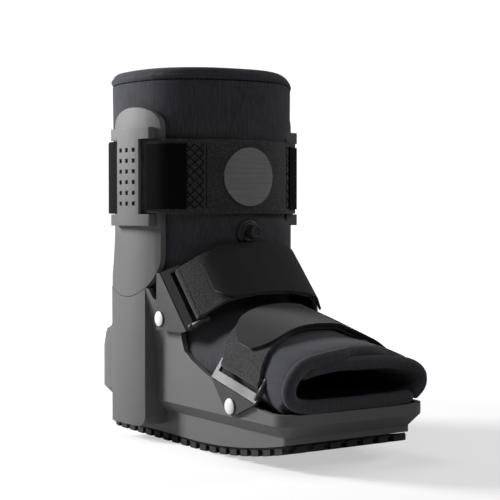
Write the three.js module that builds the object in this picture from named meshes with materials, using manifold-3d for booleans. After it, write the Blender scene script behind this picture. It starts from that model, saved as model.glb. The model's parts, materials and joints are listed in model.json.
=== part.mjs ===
// Medical walking boot: rigid shell with rocker sole, side uprights, padded liner and straps.
// Millimetres, +Z up, toe towards -Y. The leg axis is the local Y = 0 of the nested group.
import * as THREE from 'three';
import { mergeVertices } from 'three/addons/utils/BufferGeometryUtils.js';
import Module from 'manifold-3d';

const wasm = await Module();
wasm.setup();

// Overall sizes
const bootHeight = 259;
const toeReach = 184;
const heelReach = 93;
const gap = 0.4;

// Leg section, shared by the liner, the uprights, the clips and the calf strap
const legHalfWidth = 60;
const legHalfDepth = toeReach * 0.326;
const legPower = 2.4;
const linerWall = 9;
const overlapHeight = 4;
const overlapEdge = 22;
const overlapBlend = 5;

// Foot tray.
const toeHalfWidth = legHalfWidth * 0.97;
const heelRadius = legHalfWidth * 0.775;
const toeCornerRadius = 12;
const toeBow = 1.5;
const wall = 3.4;
const floorHeight = 28;
const flareStart = 60;
const pillarTop = bootHeight * 0.413;
const bandTop = 21.5;
const chamferTop = 29.5;
const bandInset = 8;

// Rocker sole
const treadDepth = 5;
const treadPlate = 2;
const toeSpring = 14;
const rockerStart = 60;
const heelRise = 7;
const heelFlat = 45;
const treadInset = 2;
const lugLength = 8;
const lugPitch = 13;
const lugDepth = 9;

// Uprights and pillars
const uprightThickness = 3.4;
const uprightTop = bootHeight * 0.896;
const uprightRear = 12;
const uprightFront = -37.5;
const domeDrop = 14;
const pillarRear = 18;
const pillarFront = -25;
const pillarFoot = 11;
const pillarCorner = 8;
const wallStraight = 42;
const tongueDepth = 13;
const cornerStart = bootHeight * 0.502;

// Straps
const webbing = 50.8;
const strapThickness = 2.4;
const calfStrapMiddle = bootHeight * 0.71;
const strapEase = 4;

// Strap clips on the uprights
const clipMiddleY = -13.5;
const clipArmLength = 42;
const clipPlateWidth = 24.5;
const clipArmHeight = 8;
const clipThickness = 2.2;
const clipHole = 2.8;
const clipHolePitch = 7.3;
const clipHoleRows = 6;
const clipHoleColumns = 3;

// Hook patches and disc on the calf strap
const patchThickness = 0.8;
const patchFront = 0.7;
const patchRear = 1.12;
const patchMargin = 3.2;
const discRadius = 20.3;
const discThickness = 1.3;

// Air valve on the front of the liner
const valveShare = 0.21;
const valveFlangeRadius = 9.3;
const valveFlangeThickness = 3;
const valveKnobRadius = 4.9;
const valveReach = 11;

// Ladder brackets, their rivets and the two foot straps
const bracketThickness = 2.2;
const frameLength = 50;
const frameDepth = 12.5;
const frameRod = 3.4;
const frameSlot = 5;
const rivetRadius = 5.2;
const rivetDome = 1.6;
const shankRadius = 2.2;
const flapThickness = 1.8;
const footWebbing = 42;
const flapWidth = 44;
const flapEndRadius = 21;

const shellGrey = new THREE.MeshStandardMaterial({ color: 0x6e6f72, roughness: 0.55, metalness: 0 });
const clipGrey = new THREE.MeshStandardMaterial({ color: 0x626366, roughness: 0.5, metalness: 0 });
const treadBlack = new THREE.MeshStandardMaterial({ color: 0x1b1b1c, roughness: 0.8, metalness: 0 });
const linerNavy = new THREE.MeshStandardMaterial({ color: 0x2b2d35, roughness: 0.95, metalness: 0 });
const strapBlack = new THREE.MeshStandardMaterial({ color: 0x1d1d1f, roughness: 0.85, metalness: 0 });
const hookBlack = new THREE.MeshStandardMaterial({ color: 0x0b0b0b, roughness: 0.95, metalness: 0 });
const discGrey = new THREE.MeshStandardMaterial({ color: 0x505154, roughness: 0.8, metalness: 0 });
const rivetWhite = new THREE.MeshStandardMaterial({ color: 0xf2f2f2, roughness: 0.4, metalness: 0 });
const valveBlack = new THREE.MeshStandardMaterial({ color: 0x232426, roughness: 0.5, metalness: 0 });

// Cuts across the boot reach this far to each side and beyond its ends.
const cutReach = legHalfWidth * 1.5;

const boot = new THREE.Group();

// Turns a closed geometry into a solid that can be joined and cut.
function solidOf(geometry) {
  const plain = geometry.clone();
  plain.deleteAttribute('normal');
  plain.deleteAttribute('uv');
  const merged = mergeVertices(plain, 1e-4);
  return new wasm.Manifold(new wasm.Mesh({
    numProp: 3,
    vertProperties: new Float32Array(merged.attributes.position.array),
    triVerts: new Uint32Array(merged.index.array),
  }));
}

function addPiece(name, solid, material) {
  const mesh = solid.getMesh();
  const geometry = new THREE.BufferGeometry();
  geometry.setAttribute('position', new THREE.BufferAttribute(new Float32Array(mesh.vertProperties), 3));
  geometry.setIndex(new THREE.BufferAttribute(new Uint32Array(mesh.triVerts), 1));
  geometry.computeVertexNormals();
  const piece = new THREE.Mesh(geometry, material);
  piece.name = name;
  boot.add(piece);
  return piece;
}

// Skins a stack of rings with equal counts and closes both ends with a fan.
function loft(rings) {
  const count = rings[0].length;
  const points = rings.flat();
  const faces = [];
  for (let r = 0; r < rings.length - 1; r += 1) {
    for (let k = 0; k < count; k += 1) {
      const a = r * count + k;
      const b = r * count + (k + 1) % count;
      faces.push(a, b, b + count, a, b + count, a + count);
    }
  }
  for (const [ring, flip] of [[0, true], [rings.length - 1, false]]) {
    const centre = new THREE.Vector3();
    rings[ring].forEach((p) => centre.addScaledVector(p, 1 / count));
    points.push(centre);
    for (let k = 0; k < count; k += 1) {
      const a = ring * count + k;
      const b = ring * count + (k + 1) % count;
      faces.push(points.length - 1, flip ? b : a, flip ? a : b);
    }
  }
  const geometry = new THREE.BufferGeometry().setFromPoints(points);
  geometry.setIndex(faces);
  return solidOf(geometry);
}

// Point of the leg's rounded section at an angle from the front, grown by an offset.
function legPoint(angle, offset) {
  const across = Math.abs(Math.sin(angle)) / (legHalfWidth + offset);
  const along = Math.abs(Math.cos(angle)) / (legHalfDepth + offset);
  const radius = (across ** legPower + along ** legPower) ** (-1 / legPower);
  return new THREE.Vector2(radius * Math.sin(angle), -radius * Math.cos(angle));
}

// Plan outline of the foot tray, drawn inwards by an inset: bowed toe, tapering sides, round heel.
function footOutline(inset) {
  const half = [];
  const cornerX = toeHalfWidth - toeCornerRadius;
  const cornerY = -toeReach + toeBow + toeCornerRadius;
  const heelY = heelReach - heelRadius;
  half.push([cornerX / 2, -toeReach + toeBow / 4 + inset]);
  for (let k = 0; k <= 5; k += 1) {
    const turn = (k / 5) * Math.PI / 2;
    const radius = toeCornerRadius - inset;
    half.push([cornerX + radius * Math.sin(turn), cornerY - radius * Math.cos(turn)]);
  }
  for (let k = 1; k <= 5; k += 1) {
    const share = k / 6;
    const width = toeHalfWidth - (toeHalfWidth - heelRadius) * share ** 1.2;
    half.push([width - inset, cornerY + (heelY - cornerY) * share]);
  }
  for (let k = 0; k <= 5; k += 1) {
    const turn = (k / 6) * Math.PI / 2;
    const radius = heelRadius - inset;
    half.push([radius * Math.cos(turn), heelY + radius * Math.sin(turn)]);
  }
  const other = half.map(([x, y]) => [-x, y]).reverse();
  const ring = [[0, -toeReach + inset], ...half, [0, heelReach - inset], ...other];
  return ring.map(([x, y]) => new THREE.Vector2(x, y));
}

// Half width of the leg's section at a place along the boot, held steady in front of the pillars.
function legWidthAt(y, offset) {
  const along = Math.min(Math.abs(y), wallStraight) / (legHalfDepth + offset);
  return (legHalfWidth + offset) * (1 - along ** legPower) ** (1 / legPower);
}

// The tray's outline, blended towards the leg section where the walls rise to the uprights.
function trayRing(height, inset, blend, legOffset) {
  return footOutline(inset).map((p) => {
    const leg = legPoint(Math.atan2(p.x, -p.y), legOffset);
    if (p.y < 0 && Math.abs(p.x) > legHalfWidth / 2) {
      leg.set(Math.sign(p.x) * legWidthAt(p.y, legOffset), p.y);
    }
    return new THREE.Vector3(p.x + (leg.x - p.x) * blend, p.y + (leg.y - p.y) * blend, height);
  });
}

// Upright wall of the leg's section between two heights.
function legTube(offset, low, high) {
  const rings = [low, high].map((height) => {
    const ring = [];
    for (let k = 0; k < 60; k += 1) {
      const p = legPoint((k / 60) * Math.PI * 2, offset);
      ring.push(new THREE.Vector3(p.x, p.y, height));
    }
    return ring;
  });
  return loft(rings);
}

function legSleeve(inner, outer, low, high) {
  return legTube(outer, low, high).subtract(legTube(inner, low - 1, high + 1));
}

// A side-view outline (Y across, Z up) run from one X to another.
function sideSlab(shape, from, to) {
  const geometry = new THREE.ExtrudeGeometry(shape, { depth: to - from, bevelEnabled: false, curveSegments: 6 });
  const turn = new THREE.Matrix4().makeBasis(
    new THREE.Vector3(0, 1, 0), new THREE.Vector3(0, 0, 1), new THREE.Vector3(1, 0, 0));
  geometry.applyMatrix4(turn.setPosition(from, 0, 0));
  return solidOf(geometry);
}

function box(x0, x1, y0, y1, z0, z1) {
  const geometry = new THREE.BoxGeometry(x1 - x0, y1 - y0, z1 - z0);
  geometry.translate((x0 + x1) / 2, (y0 + y1) / 2, (z0 + z1) / 2);
  return solidOf(geometry);
}

// Height of the tread's underside above the ground along the boot.
function rocker(y) {
  const forward = Math.max(0, -y - rockerStart) / (toeReach - rockerStart);
  const rearward = Math.max(0, y - heelFlat) / (heelReach - heelFlat);
  return toeSpring * forward ** 2 + heelRise * rearward ** 2;
}

function rockerSlab(low, high) {
  const lower = [];
  const upper = [];
  for (let k = 0; k <= 24; k += 1) {
    const y = THREE.MathUtils.lerp(-toeReach * 1.1, heelReach * 1.1, k / 24);
    lower.push(new THREE.Vector2(y, rocker(y) + low));
    upper.push(new THREE.Vector2(y, rocker(y) + high));
  }
  return sideSlab(new THREE.Shape([...lower, ...upper.reverse()]), -cutReach, cutReach);
}

// Side-view line of the tray's rim. Reach is a share of toeReach forwards or of heelReach
// rearwards, rise is a share of pillarTop.
const rimLine = [
  { reach: 1.05, rise: 0.63 },
  { reach: 0.69, rise: 0.66 },
  { reach: 0.40, rise: 0.74 },
  { reach: 0.26, rise: 0.80 },
  { reach: 0.21, rise: 1.02 },
  { reach: -0.15, rise: 1.02 },
  { reach: -0.17, rise: 0.94 },
  { reach: -0.26, rise: 0.86 },
  { reach: -0.31, rise: 0.77 },
  { reach: -0.325, rise: 0.69 },
  { reach: -0.345, rise: 0.62 },
  { reach: -0.40, rise: 0.57 },
  { reach: -0.49, rise: 0.51 },
  { reach: -0.58, rise: 0.465 },
  { reach: -0.69, rise: 0.405 },
  { reach: -0.80, rise: 0.365 },
  { reach: -0.90, rise: 0.345 },
  { reach: -1.05, rise: 0.34 },
];

function reachY(reach) {
  return reach > 0 ? reach * heelReach : reach * toeReach;
}

function aboveRim(lift) {
  const points = rimLine.map((row) => new THREE.Vector2(reachY(row.reach), row.rise * pillarTop + lift));
  points.push(new THREE.Vector2(-toeReach * 1.05, bootHeight * 1.2));
  points.push(new THREE.Vector2(heelReach * 1.05, bootHeight * 1.2));
  return sideSlab(new THREE.Shape(points), -cutReach, cutReach);
}

function trayCavity(clearance) {
  return loft([
    trayRing(floorHeight + clearance, wall + clearance, 0, 0),
    trayRing(flareStart, wall + clearance, 0, 0),
    trayRing(pillarTop, wall + clearance, 1, gap - clearance),
    trayRing(pillarTop + 4, wall + clearance, 1, gap - clearance),
  ]);
}

function uprightOutline(lift) {
  const middle = (uprightRear + uprightFront) / 2;
  const shape = new THREE.Shape();
  shape.moveTo(uprightRear, uprightTop - domeDrop + lift);
  shape.bezierCurveTo(uprightRear, uprightTop - domeDrop * 0.3, middle + 14, uprightTop, middle, uprightTop);
  shape.bezierCurveTo(middle - 14, uprightTop, uprightFront, uprightTop - domeDrop * 0.3,
    uprightFront, uprightTop - domeDrop + lift);
  shape.lineTo(uprightFront, cornerStart + lift);
  shape.quadraticCurveTo(uprightFront, pillarTop + 10 + lift, pillarFront, pillarTop + lift);
  shape.quadraticCurveTo((pillarFront + pillarRear) / 2, pillarTop - tongueDepth + lift,
    pillarRear - 1, pillarTop + lift);
  shape.lineTo(pillarRear - 1, pillarTop + 8 + lift);
  shape.quadraticCurveTo(uprightRear, pillarTop + 26, uprightRear, pillarTop + 44 + lift);
  return shape;
}

function pillarOutline() {
  const shape = new THREE.Shape();
  shape.moveTo(pillarRear, pillarTop);
  shape.lineTo(pillarFront, pillarTop);
  shape.lineTo(pillarFront, pillarFoot + pillarCorner);
  shape.quadraticCurveTo(pillarFront, pillarFoot, pillarFront + pillarCorner, pillarFoot);
  shape.lineTo(pillarRear, pillarFoot);
  return shape;
}

const uprightOuter = gap + uprightThickness;

function makeShell() {
  const tray = loft([
    trayRing(0, bandInset, 0, 0),
    trayRing(bandTop, bandInset, 0, 0),
    trayRing(chamferTop, 0, 0, 0),
    trayRing(flareStart, 0, 0, 0),
    trayRing(pillarTop, 0, 1, uprightOuter),
  ]);
  const pillar = (way) => sideSlab(pillarOutline(), ...sideSpan(way));
  const pillars = pillar(-1).add(pillar(1));
  const notch = sideSlab(uprightOutline(-gap), -cutReach, cutReach);
  const below = rockerSlab(-floorHeight, treadDepth + gap);
  const shell = tray.add(pillars.intersect(legTube(uprightOuter, 0, pillarTop)));
  return shell.subtract(trayCavity(0)).subtract(aboveRim(0)).subtract(notch).subtract(below);
}

// Tread: a thin plate that follows the rocker, with lugs round its edge and bars across it.
function makeOutsole() {
  const plan = (inset) => loft([trayRing(-5, inset, 0, 0), trayRing(60, inset, 0, 0)]);
  const edge = bandInset + treadInset;
  const plate = plan(edge).intersect(rockerSlab(treadDepth - treadPlate, treadDepth));
  let lugs = null;
  const outline = footOutline(edge + lugDepth / 2 - 2);
  const path = new THREE.CatmullRomCurve3(outline.map((p) => new THREE.Vector3(p.x, p.y, 0)), true);
  const count = Math.round(path.getLength() / lugPitch);
  for (let k = 0; k < count; k += 1) {
    const place = path.getPointAt(k / count);
    const way = path.getTangentAt(k / count);
    const lug = new THREE.BoxGeometry(lugLength, lugDepth, 60);
    lug.rotateZ(Math.atan2(way.y, way.x));
    lug.translate(place.x, place.y, 0);
    lugs = lugs ? lugs.add(solidOf(lug)) : solidOf(lug);
  }
  const barCount = Math.round((toeReach + heelReach - 60) / (lugPitch * 1.5));
  for (let k = 0; k < barCount; k += 1) {
    const y = -toeReach + 30 + (k + 0.5) * lugPitch * 1.5;
    lugs = lugs.add(box(-24, 24, y - lugLength / 2, y + lugLength / 2, -30, 30));
  }
  const band = rockerSlab(0, treadDepth - treadPlate / 2);
  return plate.add(lugs.intersect(band).intersect(plan(edge - 2)));
}

addPiece('outsole', makeOutsole(), treadBlack);
const outlineReaches = footOutline(0).map((p) => p.y);
boot.position.y = -(Math.min(...outlineReaches) + Math.max(...outlineReaches)) / 2;

const sides = [{ name: 'left', way: -1 }, { name: 'right', way: 1 }];

function sideSpan(way) {
  return way < 0 ? [-cutReach, -legHalfWidth / 2] : [legHalfWidth / 2, cutReach];
}

for (const side of sides) {
  const [from, to] = sideSpan(side.way);
  const sleeve = legSleeve(gap, uprightOuter, pillarTop - tongueDepth, bootHeight);
  const upright = sideSlab(uprightOutline(0), from, to).intersect(sleeve);
  addPiece(`upright_${side.name}`, upright, shellGrey);
}

// Liner sections fan round the ankle: each one spans from a point on the front or top line to a
// point on the back or sole line. Reaches are shares of heelReach rearwards or toeReach forwards,
// rises are shares of the liner's height, widths are shares of legHalfWidth. Back power is how
// square the rear or sole half of the section is.
const linerSections = [
  { frontReach: -0.326, frontRise: 1.0, backReach: 0.645, backRise: 1.0, width: 1.0, backPower: 2.4 },
  { frontReach: -0.326, frontRise: 0.8, backReach: 0.645, backRise: 0.8, width: 1.0, backPower: 2.4 },
  { frontReach: -0.328, frontRise: 0.61, backReach: 0.645, backRise: 0.58, width: 0.99, backPower: 2.4 },
  { frontReach: -0.338, frontRise: 0.475, backReach: 0.66, backRise: 0.40, width: 0.97, backPower: 2.4 },
  { frontReach: -0.364, frontRise: 0.395, backReach: 0.73, backRise: 0.26, width: 0.93, backPower: 2.4 },
  { frontReach: -0.414, frontRise: 0.325, backReach: 0.83, backRise: 0.14, width: 0.90, backPower: 2.6 },
  { frontReach: -0.479, frontRise: 0.273, backReach: 0.88, backRise: 0.055, width: 0.86, backPower: 3.0 },
  { frontReach: -0.545, frontRise: 0.248, backReach: 0.60, backRise: 0.0, width: 0.84, backPower: 3.6 },
  { frontReach: -0.615, frontRise: 0.235, backReach: 0.10, backRise: 0.0, width: 0.83, backPower: 4.0 },
  { frontReach: -0.695, frontRise: 0.225, backReach: -0.30, backRise: 0.0, width: 0.83, backPower: 4.0 },
  { frontReach: -0.780, frontRise: 0.214, backReach: -0.56, backRise: 0.0, width: 0.83, backPower: 3.4 },
  { frontReach: -0.860, frontRise: 0.203, backReach: -0.75, backRise: 0.0, width: 0.87, backPower: 2.9 },
  { frontReach: -0.925, frontRise: 0.193, backReach: -0.88, backRise: 0.0, width: 0.94, backPower: 2.6 },
  { frontReach: -0.968, frontRise: 0.180, backReach: -0.968, backRise: 0.0, width: 0.97, backPower: 2.4 },
];
const linerFloor = floorHeight + gap;
const linerHeight = bootHeight - linerFloor;
const linerRows = 26;
const linerColumns = 32;

function linerCurve(pick) {
  return new THREE.CatmullRomCurve3(linerSections.map(pick), false, 'catmullrom', 0.5);
}

const frontLine = linerCurve((row) => new THREE.Vector3(
  0, reachY(row.frontReach), linerFloor + row.frontRise * linerHeight));
const backLine = linerCurve((row) => new THREE.Vector3(
  0, reachY(row.backReach), linerFloor + row.backRise * linerHeight));
const girthLine = linerCurve((row) => new THREE.Vector3(row.width * legHalfWidth, row.backPower, 0));

// Moves a point of a side-view line inwards, square to the line.
function inwards(line, share, depth, turn) {
  const way = line.getTangent(share);
  const p = line.getPoint(share);
  return new THREE.Vector3(0, p.y - turn * way.z * depth, p.z + turn * way.y * depth);
}

// The overlap: the left side of the wrap lies over the right one from the instep to the toe.
function overlapRise(across, share) {
  const onTop = THREE.MathUtils.smoothstep(overlapEdge - across, 0, overlapBlend);
  const alongFoot = THREE.MathUtils.smoothstep(share, 0.35, 0.5);
  return overlapHeight * onTop * alongFoot;
}

function linerRing(share, depth) {
  const front = inwards(frontLine, share, depth, 1);
  const back = inwards(backLine, share, depth, -1);
  const girth = girthLine.getPoint(share);
  const middle = front.clone().add(back).multiplyScalar(0.5);
  const reach = front.clone().sub(middle);
  const ring = [];
  for (let k = 0; k < linerColumns; k += 1) {
    const angle = (k / linerColumns) * Math.PI * 2;
    const power = Math.cos(angle) > 0 ? legPower : girth.y;
    const along = Math.sign(Math.cos(angle)) * Math.abs(Math.cos(angle)) ** (2 / power);
    const across = Math.sign(Math.sin(angle)) * Math.abs(Math.sin(angle)) ** (2 / power);
    const p = middle.clone().addScaledVector(reach, along);
    p.x = (girth.x - depth) * across;
    if (depth < linerWall / 2 && along > 0) {
      p.z += overlapRise(p.x, share) * along;
    }
    ring.push(p);
  }
  return ring;
}

// The liner's form without its hollow, drawn inwards by a depth.
function linerFilled(depth) {
  const rings = [];
  for (let k = 0; k <= linerRows; k += 1) {
    rings.push(linerRing(k / linerRows, depth).reverse());
  }
  return loft(rings);
}

function makeLiner() {
  const outer = [];
  const inner = [];
  for (let k = 0; k <= linerRows; k += 1) {
    outer.push(linerRing(k / linerRows, 0));
    inner.push(linerRing(k / linerRows, linerWall));
  }
  const rings = [...outer, ...inner.reverse()];
  const points = rings.flat();
  const faces = [];
  for (let r = 0; r < rings.length; r += 1) {
    const next = ((r + 1) % rings.length) * linerColumns;
    for (let k = 0; k < linerColumns; k += 1) {
      const a = r * linerColumns + k;
      const b = r * linerColumns + (k + 1) % linerColumns;
      const c = next + (k + 1) % linerColumns;
      const d = next + k;
      faces.push(a, c, b, a, d, c);
    }
  }
  const geometry = new THREE.BufferGeometry().setFromPoints(points);
  geometry.setIndex(faces);
  return solidOf(geometry).intersect(trayCavity(gap).add(aboveRim(gap)));
}

// A strap pulls tight over what it crosses: its path is the convex outline of that in the plane
// square to the strap's width. The plane has X across and the strap's outward way up.
function strapPlane(lean) {
  const width = new THREE.Vector3(0, Math.cos(lean), Math.sin(lean));
  const outward = new THREE.Vector3(0, -Math.sin(lean), Math.cos(lean));
  return { width, outward };
}

function turnOf(a, b, c) {
  return (b.x - a.x) * (c.y - a.y) - (b.y - a.y) * (c.x - a.x);
}

function upperHull(points) {
  const sorted = [...points].sort((a, b) => a.x - b.x || a.y - b.y);
  const hull = [];
  for (const p of sorted) {
    while (hull.length > 1 && turnOf(hull[hull.length - 2], hull[hull.length - 1], p) >= 0) {
      hull.pop();
    }
    hull.push(p);
  }
  return hull;
}

// Liner points under a strap, seen along the strap's width.
const linerPoints = [];
for (let k = 0; k <= linerRows; k += 1) {
  linerPoints.push(...linerRing(k / linerRows, 0));
}

function crossedPoints(plane, middle, halfWidth) {
  const near = linerPoints.filter((p) => Math.abs(p.dot(plane.width) - middle) < halfWidth + linerWall);
  return near.map((p) => new THREE.Vector2(p.x, p.dot(plane.outward)));
}

// Evenly spaced stations along a polyline, each with its place and outward normal.
function stationsAlong(points, count, closed) {
  const line = new THREE.CurvePath();
  const last = closed ? points.length : points.length - 1;
  for (let k = 0; k < last; k += 1) {
    line.add(new THREE.LineCurve(points[k], points[(k + 1) % points.length]));
  }
  const total = closed ? count : count - 1;
  const places = [];
  for (let k = 0; k < count; k += 1) {
    places.push(line.getPointAt(Math.min(k / total, 1)));
  }
  return places.map((place, k) => {
    const before = places[closed ? (k + count - 1) % count : Math.max(k - 1, 0)];
    const after = places[closed ? (k + 1) % count : Math.min(k + 1, count - 1)];
    const way = after.clone().sub(before).normalize();
    return { place, normal: new THREE.Vector2(-way.y, way.x), share: k / total };
  });
}

// A flat strap along stations: middle and half width are lengths along the plane's width.
function strapSolid(stations, plane, inner, outer, middle, halfWidth, closed) {
  const sections = stations.map((station) => {
    const corners = [[inner, -1], [outer, -1], [outer, 1], [inner, 1]];
    return corners.map(([lift, edge]) => {
      const across = station.place.clone().addScaledVector(station.normal, lift);
      const along = middle(station.share) + edge * halfWidth(station.share);
      const p = plane.outward.clone().multiplyScalar(across.y).addScaledVector(plane.width, along);
      p.x = across.x;
      return p;
    });
  });
  const faces = [];
  const count = sections.length;
  for (let r = 0; r < (closed ? count : count - 1); r += 1) {
    for (let k = 0; k < 4; k += 1) {
      const a = r * 4 + k;
      const b = r * 4 + (k + 1) % 4;
      const c = ((r + 1) % count) * 4 + (k + 1) % 4;
      const d = ((r + 1) % count) * 4 + k;
      faces.push(a, c, b, a, d, c);
    }
  }
  if (!closed) {
    const end = (count - 1) * 4;
    faces.push(0, 1, 2, 0, 2, 3, end, end + 2, end + 1, end, end + 3, end + 2);
  }
  const geometry = new THREE.BufferGeometry().setFromPoints(sections.flat());
  geometry.setIndex(faces);
  return solidOf(geometry);
}

// Calf strap: a ring round the liner and over both uprights.
const calfPlane = strapPlane(Math.PI / 2);
const calfPoints = crossedPoints(calfPlane, calfStrapMiddle, webbing / 2);
for (let k = 0; k < 90; k += 1) {
  const p = legPoint((k / 90) * Math.PI * 2, uprightOuter);
  if (p.y < uprightRear + strapEase && p.y > uprightFront - strapEase) {
    calfPoints.push(new THREE.Vector2(p.x, -p.y));
  }
}
const calfHull = [...upperHull(calfPoints)];
const calfBack = upperHull(calfPoints.map((p) => new THREE.Vector2(p.x, -p.y))).reverse();
calfHull.push(...calfBack.map((p) => new THREE.Vector2(p.x, -p.y)).slice(1, -1));
const calfStations = stationsAlong(calfHull, 72, true);
const strapInner = gap;
const strapOuter = gap + strapThickness;
const steady = (value) => () => value;

function calfBand(inner, outer, halfWidth) {
  const middle = steady(calfStrapMiddle);
  return strapSolid(calfStations, calfPlane, inner, outer, middle, steady(halfWidth), true);
}

addPiece('calf_strap', calfBand(strapInner, strapOuter, webbing / 2), strapBlack);

// Clips: two arms seated on each upright and a perforated plate that bridges the strap.
const clipSeat = uprightOuter + gap;
const clipBridge = uprightOuter + strapOuter + gap;
const clipOuter = clipBridge + clipThickness;

function makeClip(way) {
  const armInside = webbing / 2 + gap;
  const armOutside = armInside + clipArmHeight;
  const [from, to] = sideSpan(way);
  const low = calfStrapMiddle - armOutside;
  const high = calfStrapMiddle + armOutside;
  const armY0 = clipMiddleY - clipArmLength / 2;
  const armY1 = clipMiddleY + clipArmLength / 2;
  const lowArm = box(from, to, armY0, armY1, low, calfStrapMiddle - armInside);
  const highArm = box(from, to, armY0, armY1, calfStrapMiddle + armInside, high);
  const arms = lowArm.add(highArm).intersect(legSleeve(clipSeat, clipOuter, low - 1, high + 1));
  const plateY0 = clipMiddleY - clipPlateWidth / 2;
  const plate = box(from, to, plateY0, plateY0 + clipPlateWidth, low, high);
  let clip = arms.add(plate.intersect(legSleeve(clipBridge, clipOuter, low - 1, high + 1)));
  const rowPitch = (webbing - 2 * patchMargin) / clipHoleRows;
  for (let row = 0; row < clipHoleRows; row += 1) {
    for (let column = 0; column < clipHoleColumns; column += 1) {
      const y = clipMiddleY + (column - (clipHoleColumns - 1) / 2) * clipHolePitch;
      const z = calfStrapMiddle + (row - (clipHoleRows - 1) / 2) * rowPitch;
      const half = clipHole / 2;
      clip = clip.subtract(box(from, to, y - half, y + half, z - half, z + half));
    }
  }
  return clip;
}

for (const side of sides) {
  addPiece(`clip_${side.name}`, makeClip(side.way), clipGrey);
}

// Hook patches between each clip and the front of the strap.
const patchBand = calfBand(strapOuter + gap, strapOuter + gap + patchThickness, webbing / 2 - patchMargin);

function wedge(fromAngle, toAngle) {
  const far = legHalfWidth * 2;
  const shape = new THREE.Shape();
  shape.moveTo(0, 0);
  shape.lineTo(far * Math.sin(fromAngle), -far * Math.cos(fromAngle));
  shape.lineTo(far * Math.sin(toAngle), -far * Math.cos(toAngle));
  const geometry = new THREE.ExtrudeGeometry(shape, { depth: bootHeight, bevelEnabled: false });
  return solidOf(geometry);
}

for (const side of sides) {
  const ends = [side.way * patchFront, side.way * patchRear];
  const patch = patchBand.intersect(wedge(Math.min(...ends), Math.max(...ends)));
  addPiece(`calf_hook_${side.name}`, patch, hookBlack);
}

// Round disc on the front of the strap.
function frontRound(radius, height, segments) {
  const geometry = new THREE.CylinderGeometry(radius, radius, legHalfDepth, segments);
  geometry.translate(0, -legHalfDepth, height);
  return solidOf(geometry);
}

const discBand = calfBand(strapOuter + gap, strapOuter + gap + discThickness, webbing / 2);
addPiece('calf_disc', discBand.intersect(frontRound(discRadius, calfStrapMiddle, 32)), discGrey);

// A turned shape given as rows of radius and height, stood on a point and turned to a direction.
function turned(profile, place, direction, segments) {
  const points = profile.map(([radius, height]) => new THREE.Vector2(radius, height));
  const geometry = new THREE.LatheGeometry(points, segments);
  const turn = new THREE.Quaternion().setFromUnitVectors(new THREE.Vector3(0, 1, 0), direction);
  geometry.applyQuaternion(turn);
  geometry.translate(place.x, place.y, place.z);
  return solidOf(geometry);
}

// Air valve: a flange on the liner, seated by cutting it with the liner's grown section, and a stem.
const valveFoot = frontLine.getPoint(valveShare);
const forwards = valveFoot.clone().sub(inwards(frontLine, valveShare, 1, 1));
const stemRadius = valveKnobRadius * 0.62;
const flange = turned([
  [0, -valveFlangeThickness],
  [valveFlangeRadius, -valveFlangeThickness],
  [valveFlangeRadius, valveFlangeThickness * 0.5],
  [valveFlangeRadius * 0.7, valveFlangeThickness],
  [0, valveFlangeThickness],
], valveFoot, forwards, 24);
addPiece('valve_base', flange.subtract(linerFilled(-gap)), valveBlack);
const stemStart = valveFlangeThickness + gap;
addPiece('valve_stem', turned([
  [0, stemStart],
  [stemRadius, stemStart],
  [stemRadius, valveReach * 0.55],
  [valveKnobRadius, valveReach * 0.65],
  [valveKnobRadius, valveReach * 0.92],
  [valveKnobRadius * 0.8, valveReach],
  [0, valveReach],
], valveFoot, forwards, 20), valveBlack);

// The two straps over the foot and their ladder brackets. Lean is the slope of the strap's width.
// Reaches are shares of toeReach and rises are shares of bootHeight: the edge is the middle of the
// plate's front edge, which carries a frame that turns inwards by frameTurn and holds the strap
// round its rod. Top slide is how far the strap's middle moves up the foot, flap start is where
// along the strap its flap begins.
const footStraps = [
  {
    name: 'shin', lean: 0.838, edgeReach: -0.305, edgeRise: 0.3825, frameTurn: 0.9, topSlide: 0,
    rivetReach: -0.215, rivetRise: 0.335, flapStart: 0.12,
    plate: [[-0.192, 0.455], [-0.188, 0.305], [-0.365, 0.305]],
  },
  {
    name: 'foot', lean: 0.245, edgeReach: -0.703, edgeRise: 0.1813, frameTurn: 0.45, topSlide: 0.098,
    rivetReach: -0.690, rivetRise: 0.142, flapStart: 0.10,
    plate: [[-0.668, 0.121], [-0.712, 0.121]],
  },
];

// Outer X of the tray's wall at a place along the boot.
function wallX(y, z) {
  const blend = Math.max(0, (z - flareStart) / (pillarTop - flareStart));
  const ring = trayRing(z, 0, Math.min(blend, 1), uprightOuter).filter((p) => p.x > 0);
  let widest = 0;
  for (let k = 0; k < ring.length - 1; k += 1) {
    const [a, b] = [ring[k], ring[k + 1]];
    if ((a.y - y) * (b.y - y) <= 0 && a.y !== b.y) {
      widest = Math.max(widest, a.x + ((b.x - a.x) * (y - a.y)) / (b.y - a.y));
    }
  }
  return widest;
}

// Every place that a foot strap's bracket, rivet and path share.
function strapLayout(row) {
  const plane = strapPlane(row.lean);
  const rivet = new THREE.Vector3(0, row.rivetReach * toeReach, row.rivetRise * bootHeight);
  const plateX = wallX(rivet.y, rivet.z) + gap;
  const edge = new THREE.Vector3(0, row.edgeReach * toeReach, row.edgeRise * bootHeight);
  const rodX = plateX + bracketThickness / 2 - frameDepth * Math.sin(row.frameTurn);
  const rodRise = edge.dot(plane.outward) + frameDepth * Math.cos(row.frameTurn);
  const rodMiddle = edge.dot(plane.width);
  return { plane, rivet, plateX, edge, rodX, rodRise, rodMiddle };
}

function pinHole(row, way, radius) {
  const { rivet, plateX } = strapLayout(row);
  const place = new THREE.Vector3(way * (plateX + legHalfWidth / 2), rivet.y, rivet.z);
  return turned([[0, 0], [radius, 0], [radius, legHalfWidth], [0, legHalfWidth]], place,
    new THREE.Vector3(-way, 0, 0), 12);
}

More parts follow.
